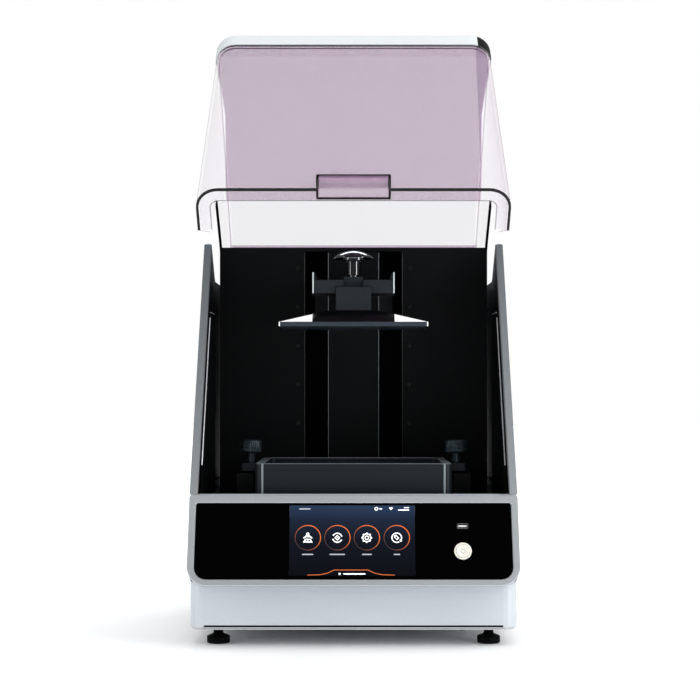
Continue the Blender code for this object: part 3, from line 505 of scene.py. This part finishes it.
def add_piece(name, mesh, material, body=ROOT, instead_of=()):
    piece = bpy.data.objects.new(name, mesh)
    bpy.context.scene.collection.objects.link(piece)
    mesh.materials.clear()
    mesh.materials.append(material)
    mesh.shade_smooth()
    mesh.set_sharp_from_angle(angle=SMOOTH_UNDER)
    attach(piece, body)
    if instead_of:
        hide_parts(*instead_of)
    return piece


def finish_mesh(work, name, place):
    bmesh.ops.recalc_face_normals(work, faces=work.faces)
    bmesh.ops.transform(work, matrix=place, verts=work.verts)
    mesh = bpy.data.meshes.new(name)
    work.to_mesh(mesh)
    work.free()
    return mesh


def turned_mesh(name, profile, place, steps=64, scallop=None):
    """Spins (radius, height) points in millimetres about z; scallop(angle, radius) gives a knurled radius."""
    work = bmesh.new()
    rings = []
    for radius, height in profile:
        if radius == 0:
            rings.append([work.verts.new((0, 0, height * MM))])
            continue
        ring = []
        for k in range(steps):
            angle = 2 * math.pi * k / steps
            out = scallop(angle, radius) if scallop else radius
            ring.append(work.verts.new((out * math.cos(angle) * MM, out * math.sin(angle) * MM, height * MM)))
        rings.append(ring)
    for first, second in zip(rings, rings[1:]):
        for k in range(steps):
            a, b = k, (k + 1) % steps
            corners = [first[a % len(first)], first[b % len(first)], second[b % len(second)], second[a % len(second)]]
            corners = list(dict.fromkeys(corners))
            if len(corners) > 2:
                work.faces.new(corners)
    return finish_mesh(work, name, place)


def curve_mesh(name, curve, place):
    holder = bpy.data.objects.new(name, curve)
    bpy.context.scene.collection.objects.link(holder)
    graph = bpy.context.evaluated_depsgraph_get()
    mesh = bpy.data.meshes.new_from_object(holder.evaluated_get(graph))
    bpy.data.objects.remove(holder, do_unlink=True)
    work = bmesh.new()
    work.from_mesh(mesh)
    bmesh.ops.remove_doubles(work, verts=work.verts, dist=1e-7)
    return finish_mesh(work, name, place)


def flat_mesh(name, outlines, low, high, place):
    """Flat outlines in millimetres, with holes, as one thin solid."""
    curve = bpy.data.curves.new(name, "CURVE")
    curve.dimensions = "2D"
    curve.fill_mode = "BOTH"
    curve.extrude = (high - low) / 2 * MM
    for outline in outlines:
        spline = curve.splines.new("POLY")
        spline.points.add(len(outline) - 1)
        for point, at in zip(spline.points, outline):
            point.co = (at[0] * MM, at[1] * MM, 0, 1)
        spline.use_cyclic_u = True
    return curve_mesh(name, curve, place @ Matrix.Translation((0, 0, (high + low) / 2 * MM)))


def line_mesh(name, path, radius, place):
    """A thin round line in millimetres along path."""
    curve = bpy.data.curves.new(name, "CURVE")
    curve.dimensions = "3D"
    curve.bevel_depth = radius * MM
    curve.bevel_resolution = 2
    curve.use_fill_caps = True
    spline = curve.splines.new("POLY")
    spline.points.add(len(path) - 1)
    for point, at in zip(spline.points, path):
        point.co = (at[0] * MM, at[1] * MM, at[2] * MM, 1)
    return curve_mesh(name, curve, place)


def arc(x, y, radius, start=0.0, end=360.0, steps=24):
    turns = [math.radians(start + (end - start) * k / steps) for k in range(steps + 1)]
    if abs(end - start) >= 360:
        turns = turns[:-1]
    return [(x + radius * math.cos(a), y + radius * math.sin(a)) for a in turns]


def band(x, y, outer, inner, start, end):
    return arc(x, y, outer, start, end) + arc(x, y, inner, start, end)[::-1]


def bar(x, y, wide, tall):
    half = tall / 2
    return arc(x + wide / 2 - half, y, half, -90, 90, 5) + arc(x - wide / 2 + half, y, half, 90, 270, 5)


# ---------------------------------------------------------------- turned and knurled pieces


def make_feet():
    """Black levelling feet: a rounded disc under a short ridged neck."""
    material = MATERIALS["foot_rubber"]
    for end in ("front", "rear"):
        for side in ("left", "right"):
            node = f"foot_{end}_{side}"
            low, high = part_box(node)
            tall = height_of(node)
            radius = (high.x - low.x) / 2 / MM
            neck, disc, pitch = 6.3, 11.0, 1.2
            profile = [(0, 0), (radius - 2.2, 0), (radius - 0.7, 0.5), (radius, 1.6), (radius, 8.2),
                       (radius - 0.5, 9.0), (radius - 1.9, 9.7), (radius - 4.2, disc - 0.4), (neck + 1.6, disc + 0.4),
                       (neck, disc + 1.8)]
            turns = int((tall - disc - 3) / pitch)
            for k in range(turns):
                profile += [(neck, disc + 2.2 + pitch * k), (neck - 0.6, disc + 2.8 + pitch * k)]
            profile += [(neck, tall - 0.6), (neck, tall), (0, tall)]
            mesh = turned_mesh(f"levelling_{node}", profile, standing_on(node), 48)
            add_piece(f"levelling_{node}", mesh, material, instead_of=(node,))


def knurl(depth, count, rim):
    """A knurled edge: teeth cut into every radius at or outside rim."""
    def shaped(angle, radius):
        if radius < rim:
            return radius
        return radius - depth * (0.5 - 0.5 * math.cos(angle * count)) ** 0.6
    return shaped


def make_thumbscrews():
    """Blue-black knurled knobs on the vat's ears."""
    material = MATERIALS["anodised_blue_black"]
    for side in ("left", "right"):
        node = f"thumbscrew_{side}"
        top = height_of(node)
        profile = [(0, top - 1.2), (6.5, top - 1.2), (7.2, top - 0.2), (8.2, top), (11.6, top), (13.5, top - 0.8),
                   (14.4, top - 2.0), (14.4, top - 9.2), (13.6, top - 9.9), (13.6, top - 11.2), (14.4, top - 11.9),
                   (14.4, top - 15), (13.4, top - 16.2), (8.0, top - 16.6), (5.9, top - 17.4), (5.5, top - 18.9),
                   (5.5, 5.0)]
        for k in range(4):
            profile += [(4.0, 4.4 - k), (3.4, 3.9 - k)]
        profile += [(3.2, 0.2), (2.8, 0), (0, 0)]
        mesh = turned_mesh(f"knurled_{node}", profile[::-1], standing_on(node), 144, knurl(0.55, 36, 13.55))
        add_piece(f"knurled_{node}", mesh, material, node, instead_of=(node,))


def make_platform_knob():
    """The polished dome on its stem."""
    top = height_of("platform_knob")
    shell, rim, dome = 38.0, 27.0, 10.2
    drop = shell - math.sqrt(shell ** 2 - rim ** 2)
    profile = [(0, top)]
    for k in range(1, 13):
        radius = rim * k / 12
        profile.append((radius, top - (shell - math.sqrt(shell ** 2 - radius ** 2)) * dome / drop))
    profile += [(27.0, top - 10.7), (26.5, top - 11.0), (23.0, top - 9.4), (18.5, top - 7.4), (16.3, top - 6.8),
                (16.0, top - 7.6), (16.0, top - 13.2), (15.2, top - 14.0), (10, top - 14.2), (9.3, top - 14.8),
                (9.3, top - 32.4), (8.6, top - 33.1), (7.0, top - 33.2), (7.0, 0), (0, 0)]
    mesh = turned_mesh("polished_knob", profile[::-1], standing_on("platform_knob"), 72)
    add_piece("polished_knob", mesh, MATERIALS["polished_metal"], "platform_knob",
              instead_of=("platform_knob",))


def make_power_button():
    """A warm white metal push button, dished, with a power mark, inside its bright ring."""
    warm = finish("warm_metal", (0.84, 0.81, 0.74), 0.35, 0.3, 300, 0.04, 0.02).material
    place = CONSOLE @ Matrix.Translation((BUTTON_X * MM, BUTTON_Y * MM, 0))
    profile = [(0, -4.8), (7.6, -4.8), (8.2, -4.2), (8.2, -0.4), (7.9, 0.15), (7.3, 0.4), (6.6, 0.35), (6.1, 0.05),
               (4.0, -0.12), (0, -0.18)]
    add_piece("button_cap", turned_mesh("button_cap", profile, place), warm, "power_button",
              instead_of=("power_button",))
    ring = [(8.5, -5), (10.8, -5), (10.8, -0.5), (10.4, 0.2), (9.9, 0.45), (9.3, 0.4), (8.8, -0.1), (8.5, -0.8),
            (8.5, -5)]
    add_piece("button_ring", turned_mesh("button_ring", ring, place), warm,
              instead_of=("power_button_ring",))
    mark = finish("mark_grey", (0.45, 0.44, 0.41), 0.5, 0.3, 300, 0.05, 0.02).material
    outlines = [band(0, 0, 2.9, 2.35, 125, 415)]
    add_piece("power_mark", flat_mesh("power_mark", outlines, -0.3, 0.08, place), mark, "power_button")
    stroke = bar(0, 0, 3.2, 0.55)
    stroke = [(py, px + 2.2) for px, py in stroke]
    add_piece("power_stroke", flat_mesh("power_stroke", [stroke], -0.3, 0.08, place), mark, "power_button")


# ---------------------------------------------------------------- the lit display


def glow_material(name, colour, strength):
    shader = Shader(name)
    speck = shader.noise(600.0, 2)
    dim = tuple(c * 0.9 for c in colour)
    shader.set(Base_Color=shader.ramp(speck, (0.2, dim), (0.8, colour)), Roughness=0.4)
    shader.set(Emission_Color=(*colour, 1), Emission_Strength=strength)
    return shader.material


def ring_material():
    """Orange round the upper right of each ring, fading out at its lower left."""
    shader = Shader("ring_orange")
    split = shader.math("ADD", shader.axis("X", "Generated"), shader.axis("Z", "Generated"))
    glow = shader.math("MULTIPLY", split, 0.5)
    colour = shader.ramp(glow, (0.14, (0.010, 0.009, 0.014)), (0.40, (0.13, 0.028, 0.012)),
                         (0.75, (0.44, 0.085, 0.012)))
    shader.set(Base_Color=colour, Emission_Color=colour, Emission_Strength=0.8, Roughness=0.4)
    return shader.material


def make_display():
    """Four round menu keys with plain pictograms, status marks and a bottom bar; no words."""
    white = glow_material("glyph_white", (0.80, 0.82, 0.85), 0.75)
    grey = glow_material("label_grey", (0.30, 0.32, 0.36), 0.5)
    orange = ring_material()
    bottom_orange = glow_material("bar_orange", (0.38, 0.075, 0.014), 0.7)
    keys = (-56.0, -19.8, 16.3, 53.0)
    key_y, low, high = -54.6, -0.88, -0.74
    ring_radius, ring_line, label_drop = 16.2, 1.1, 21.1
    glyph = 0.86

    def flat(name, outlines, material):
        add_piece(name, flat_mesh(name, outlines, low, high, CONSOLE), material)

    for k, x in enumerate(keys):
        flat(f"key_ring_{k}", [arc(x, key_y, ring_radius, steps=56), arc(x, key_y, ring_radius - ring_line, steps=56)],
             orange)
        flat(f"key_label_{k}", [bar(x, key_y - label_drop, (14, 19, 12, 8)[k], 1.5)], grey)

    def mark(name, k, outlines):
        flat(name, [[(keys[k] + glyph * px, key_y + glyph * py) for px, py in points] for points in outlines], white)

    mark("glyph_plate_base", 0, [[(-6.8, -7), (6.8, -7), (4.0, -1.6), (-4.0, -1.6)],
                                 [(-4.0, -5.6), (4.0, -5.6), (2.6, -3.0), (-2.6, -3.0)]])
    mark("glyph_plate_bed", 0, [[(-1.5, -4.9), (1.5, -4.9), (1.0, -3.8), (-1.0, -3.8)]])
    mark("glyph_plate_roof", 0, [[(-6.8, -0.4), (-2.6, 3.4), (2.6, 3.4), (6.8, -0.4), (5.6, -1.2), (2.6, 0.9),
                                  (-2.6, 0.9), (-5.6, -1.2)]])
    mark("glyph_plate_dot", 0, [arc(0, 5.4, 2.2), arc(0, 5.4, 1.1, steps=12)])
    for j, start in enumerate((15, 195)):
        mark(f"glyph_target_arc_{j}", 1, [band(0, 0, 7.4, 5.9, start, start + 140)])
    mark("glyph_target_frame", 1, [arc(0, 0, 4.3, steps=4), arc(0, 0, 2.7, steps=4)])
    mark("glyph_target_dot", 1, [arc(0, 0, 1.0, steps=12)])
    gear = []
    for k in range(64):
        angle = 2 * math.pi * k / 64
        radius = 6.9 + 0.7 * math.tanh(2 * math.cos(8 * angle))
        gear.append((radius * math.cos(angle), radius * math.sin(angle)))
    mark("glyph_gear", 2, [gear, arc(0, 0, 5.0)])
    mark("glyph_gear_hub", 2, [arc(0, 0, 3.2), arc(0, 0, 1.9)])
    mark("glyph_log_ring", 3, [band(0, 0, 7.6, 6.1, -20, 300)])
    card = [(-3.2, 3.6), (-1.2, 4.4), (3.6, -0.4), (0.4, -3.6), (-4.2, 1.2)]
    mark("glyph_log_card", 3, [card, [(0.55 * px - 0.2, 0.55 * py) for px, py in card]])
    mark("glyph_log_dot", 3, [arc(5.6, -4.2, 1.7, steps=12)])

    flat("status_disc", [arc(28.2, -17.6, 2.3), arc(28.2, -17.6, 1.3, steps=12)], white)
    flat("status_bar", [bar(33.6, -17.6, 3.6, 1.6)], white)
    fan = [(46.2, -19.2)] + arc(46.2, -19.2, 3.6, 45, 135, 8)
    flat("status_signal", [fan], white)
    flat("status_clock", [bar(65.4, -16.2, 6.4, 1.2)], white)
    flat("status_date", [bar(61.8, -19.2, 13.8, 1.3)], white)
    flat("status_mark", [bar(-60.0, -17.8, 14, 1.6)], grey)

    centre, top, foot = -3.0, -95.3, -101.2
    curve = [(-53, foot - 0.5), (-38, foot), (-29, foot + 1.8), (-20.5, top), (20.5, top), (29, foot + 1.8),
             (38, foot), (53, foot - 0.5)]
    path = [(px + centre, py, low + 0.12) for px, py in curve]
    add_piece("bottom_bar", line_mesh("bottom_bar", path, 0.55, CONSOLE), bottom_orange)
    flat("bottom_square", [[(-18.0, -101.3), (-15.7, -101.3), (-15.7, -99.0), (-18.0, -99.0)]], white)
    flat("bottom_label", [bar(1.0, -100.2, 27, 1.5)], white)


# ---------------------------------------------------------------- trim, screws and bright edges


def make_trim():
    """Painted highlights along the black liners' edges and the column cover's edges, painted shadow seams along the
    channel, small screws, the front stripe and the USB socket's tongue.
    """
    bright = finish("painted_edge_highlight", (0.72, 0.75, 0.78), 0.3, 0.6, 400, 0.05, 0.05).material
    faint = finish("faint_painted_edge_highlight", (0.10, 0.115, 0.125), 0.4, 0.3, 400, 0.2, 0.05).material
    dark = finish("screw_black", (0.0022, 0.0025, 0.0028), 0.4, 0.0, 500, 0.2, 0.1, specular=0.2).material
    # Painted highlights: bright rods along each black liner's front and top edges.
    for side in ("left", "right"):
        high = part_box(f"side_liner_{side}")[1]
        x = middle_of(f"side_liner_{side}").x / MM
        top = (high.z - DATUM.z) / MM
        rear = (high.y - DATUM.y) / MM
        bottom, upper = 34, top - 7
        start = (x, FRAME_FRONT + FRAME_SLOPE * bottom - 0.9, bottom)
        end = (x, FRAME_FRONT + FRAME_SLOPE * upper - 0.9, upper)
        add_piece(f"liner_edge_{side}", line_mesh(f"liner_edge_{side}", [start, end], 0.95, UPRIGHT), bright)
        rim = [(x, FRAME_FRONT + FRAME_SLOPE * top + 6, top + 0.5), (x, rear - 4, top + 0.5)]
        add_piece(f"liner_top_{side}", line_mesh(f"liner_top_{side}", rim, 0.8, UPRIGHT), bright)

    low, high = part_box("column_cover")
    wall = (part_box("back_wall")[0].y - DATUM.y) / MM
    front = (low.y - DATUM.y) / MM
    base, top = (low.z - DATUM.z) / MM, (high.z - DATUM.z) / MM
    for side, sign in (("left", -1), ("right", 1)):
        # Painted highlight: a faint light line down each edge of the column cover.
        x = sign * ((high.x - low.x) / 2 / MM - 0.4)
        path = [(x, front - 0.1, base + 2), (x, front - 0.1, top - 2)]
        add_piece(f"cover_edge_{side}", line_mesh(f"cover_edge_{side}", path, 0.42, UPRIGHT), faint)
        # Painted shadow seam: a black line along each edge of the channel.
        x = sign * CHANNEL_HALF
        path = [(x, wall - 0.05, base + 2), (x, wall - 0.05, top - 2)]
        add_piece(f"channel_edge_{side}", line_mesh(f"channel_edge_{side}", path, 0.4, UPRIGHT),
                  MATERIALS["black_plastic"])
        x = sign * SCREW_X
        for k in range(SCREW_COUNT):
            z = SCREW_LOW + SCREW_PITCH * k
            place = UPRIGHT @ Matrix.Translation((x * MM, (wall - 0.3) * MM, z * MM))
            place = place @ Matrix.Rotation(math.pi / 2, 4, "X")
            profile = [(0, 0.9), (1.3, 0.9), (1.5, 1.9), (2.9, 1.75), (3.6, 1.0), (3.7, 0.0), (0, 0)]
            mesh = turned_mesh(f"wall_screw_{side}_{k}", profile[::-1], place, 24)
            add_piece(f"wall_screw_{side}_{k}", mesh, dark)
    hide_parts("wall_screws_left")
    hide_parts("wall_screws_right")

    front = (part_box("base_shell")[0].y - DATUM.y) / MM
    facing = UPRIGHT @ Matrix.Rotation(math.pi / 2, 4, "X")
    stripe = [(-STRIPE_HALF, STRIPE_LOW), (STRIPE_HALF, STRIPE_LOW), (STRIPE_HALF, STRIPE_HIGH),
              (-STRIPE_HALF, STRIPE_HIGH)]
    add_piece("front_stripe", flat_mesh("front_stripe", [stripe], -front - 1.0, -front - 0.1, facing), dark)
    low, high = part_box("bottom_plate")
    for k, x in enumerate((-135, 0, 135)):
        place = Matrix.Translation((x * MM, low.y + 0.007, low.z))
        profile = [(0, -1.6), (3.0, -1.6), (4.2, -1.1), (4.5, 0.0), (0, 0)]
        add_piece(f"bottom_screw_{k}", turned_mesh(f"bottom_screw_{k}", profile, place, 24), dark)
    low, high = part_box("tower_cover")
    for side, sign in (("left", -1), ("right", 1)):
        for k, z in enumerate((low.z + 0.03, (low.z + high.z) / 2, high.z - 0.03)):
            place = Matrix.Translation((sign * (high.x - 0.012), high.y, z)) @ Matrix.Rotation(-math.pi / 2, 4, "X")
            profile = [(0, 0.7), (1.2, 0.7), (1.4, 1.5), (3.0, 1.4), (3.6, 0.7), (3.7, -0.2), (0, -0.2)]
            add_piece(f"rear_screw_{side}_{k}", turned_mesh(f"rear_screw_{side}_{k}", profile[::-1], place, 24), dark)
    white = finish("white_plastic", (0.6, 0.6, 0.6), 0.4, 0.0, 300, 0.05, 0.03).material
    left, right, low, high = USB_X - 5.4, USB_X + 5.4, USB_Y - 0.6, USB_Y + 1.5
    tongue = [(left, low), (right, low), (right, high), (left, high)]
    add_piece("usb_tongue", flat_mesh("usb_tongue", [tongue], -13.5, -2.2, CONSOLE), white)


def make_grip_lines():
    """The grip's black outline, a painted dark edge line carried inwards under the hood's lip."""
    edge_dark_material = finish("acrylic_painted_edge_dark", PAINTED_EDGE_DARK, 0.3, 0.0, 300, 0.1, 0.0, specular=0.2).material
    place = Matrix.Translation(RIM) @ Matrix((
        (1, 0, 0, 0),
        (0, PANEL_OUT.y, PANEL_UP.y, 0),
        (0, PANEL_OUT.z, PANEL_UP.z, 0),
        (0, 0, 0, 1)))
    inner, half, drop = -14.0, 43.7, 2.3
    path = [(-half, -0.4, drop), (-half, inner, drop), (half, inner, drop), (half, -0.4, drop)]
    add_piece("grip_outline", line_mesh("grip_outline", path, 1.9, place), edge_dark_material, "hood")


make_feet()
make_thumbscrews()
make_platform_knob()
make_power_button()
make_display()
make_trim()
make_grip_lines()

# ---------------------------------------------------------------- studio


GLOSSY_SKY = 0.16  # share of the sky's strength that reflections see
CAMERA_BACK, CAMERA_HIGH = 1.98, 0.13  # metres from the console's top front edge


def area_light(name, place, aim, size, power):
    data = bpy.data.lights.new(name, "AREA")
    data.shape = "RECTANGLE"
    data.size, data.size_y = size
    data.energy = power
    light = bpy.data.objects.new(name, data)
    bpy.context.scene.collection.objects.link(light)
    light.location = place
    light.rotation_euler = (Vector(aim) - Vector(place)).to_track_quat("-Z", "Y").to_euler()


def make_studio():
    """A pale floor that brightens away from the printer, soft lights, and a sky that glossy surfaces see dimmed."""
    floor_mesh = bpy.data.meshes.new("floor")
    work = bmesh.new()
    bmesh.ops.create_grid(work, x_segments=1, y_segments=1, size=12)
    work.to_mesh(floor_mesh)
    work.free()
    floor = bpy.data.objects.new("floor", floor_mesh)
    bpy.context.scene.collection.objects.link(floor)
    shader = Shader("studio_floor")
    shader.set(Base_Color=shader.ramp(shader.noise(3.0), (0.0, (0.93, 0.93, 0.93)), (1.0, (0.96, 0.96, 0.96))))
    gradient = shader.tree.nodes.new("ShaderNodeVectorMath")
    gradient.operation = "LENGTH"
    shader.link(shader.coords.outputs["Object"], gradient.inputs[0])
    glow = shader.ramp(shader.math("MULTIPLY", gradient.outputs["Value"], 0.5), (0.16, 0.0), (0.34, 0.06), (0.7, 0.4))
    shader.set(Emission_Color=(1, 1, 1, 1), Emission_Strength=glow)
    shader.set(Roughness=0.7, Specular_IOR_Level=0.2)
    floor_mesh.materials.append(shader.material)
    world = bpy.data.worlds.new("studio")
    world.use_nodes = True
    tree = world.node_tree
    background = tree.nodes["Background"]
    background.inputs["Color"].default_value = (1, 1, 1, 1)
    path = tree.nodes.new("ShaderNodeLightPath")
    dimmer = tree.nodes.new("ShaderNodeMath")
    dimmer.operation = "MULTIPLY_ADD"
    tree.links.new(path.outputs["Is Glossy Ray"], dimmer.inputs[0])
    dimmer.inputs[1].default_value = GLOSSY_SKY - 1.0
    dimmer.inputs[2].default_value = 1.0
    tree.links.new(dimmer.outputs[0], background.inputs["Strength"])
    bpy.context.scene.world = world
    bpy.context.scene.view_settings.view_transform = "Standard"
    area_light("right_strip", (1.5, -1.3, 0.75), (0, -0.1, 0.3), (0.3, 1.5), 16)
    area_light("left_strip", (-1.5, -1.1, 0.7), (0, -0.1, 0.3), (0.22, 1.4), 6)
    area_light("key", (1.3, -0.9, 2.0), (0, 0, 0.25), (0.9, 0.9), 10)
    area_light("rim_light", (0.0, 1.1, 1.5), (0, 0, 0.4), (0.9, 0.3), 8)


def make_camera():
    """Level, straight on, and 1.98 m in front of the console."""
    data = bpy.data.cameras.new("camera")
    data.lens = 82.3
    data.sensor_width = 36.0
    data.shift_x, data.shift_y = -0.005, 0.057
    camera = bpy.data.objects.new("camera", data)
    bpy.context.scene.collection.objects.link(camera)
    camera.location = (0.0, DATUM.y - CAMERA_BACK, DATUM.z + CAMERA_HIGH)
    camera.rotation_euler = (math.pi / 2, 0, 0)
    bpy.context.scene.camera = camera


make_studio()
make_camera()
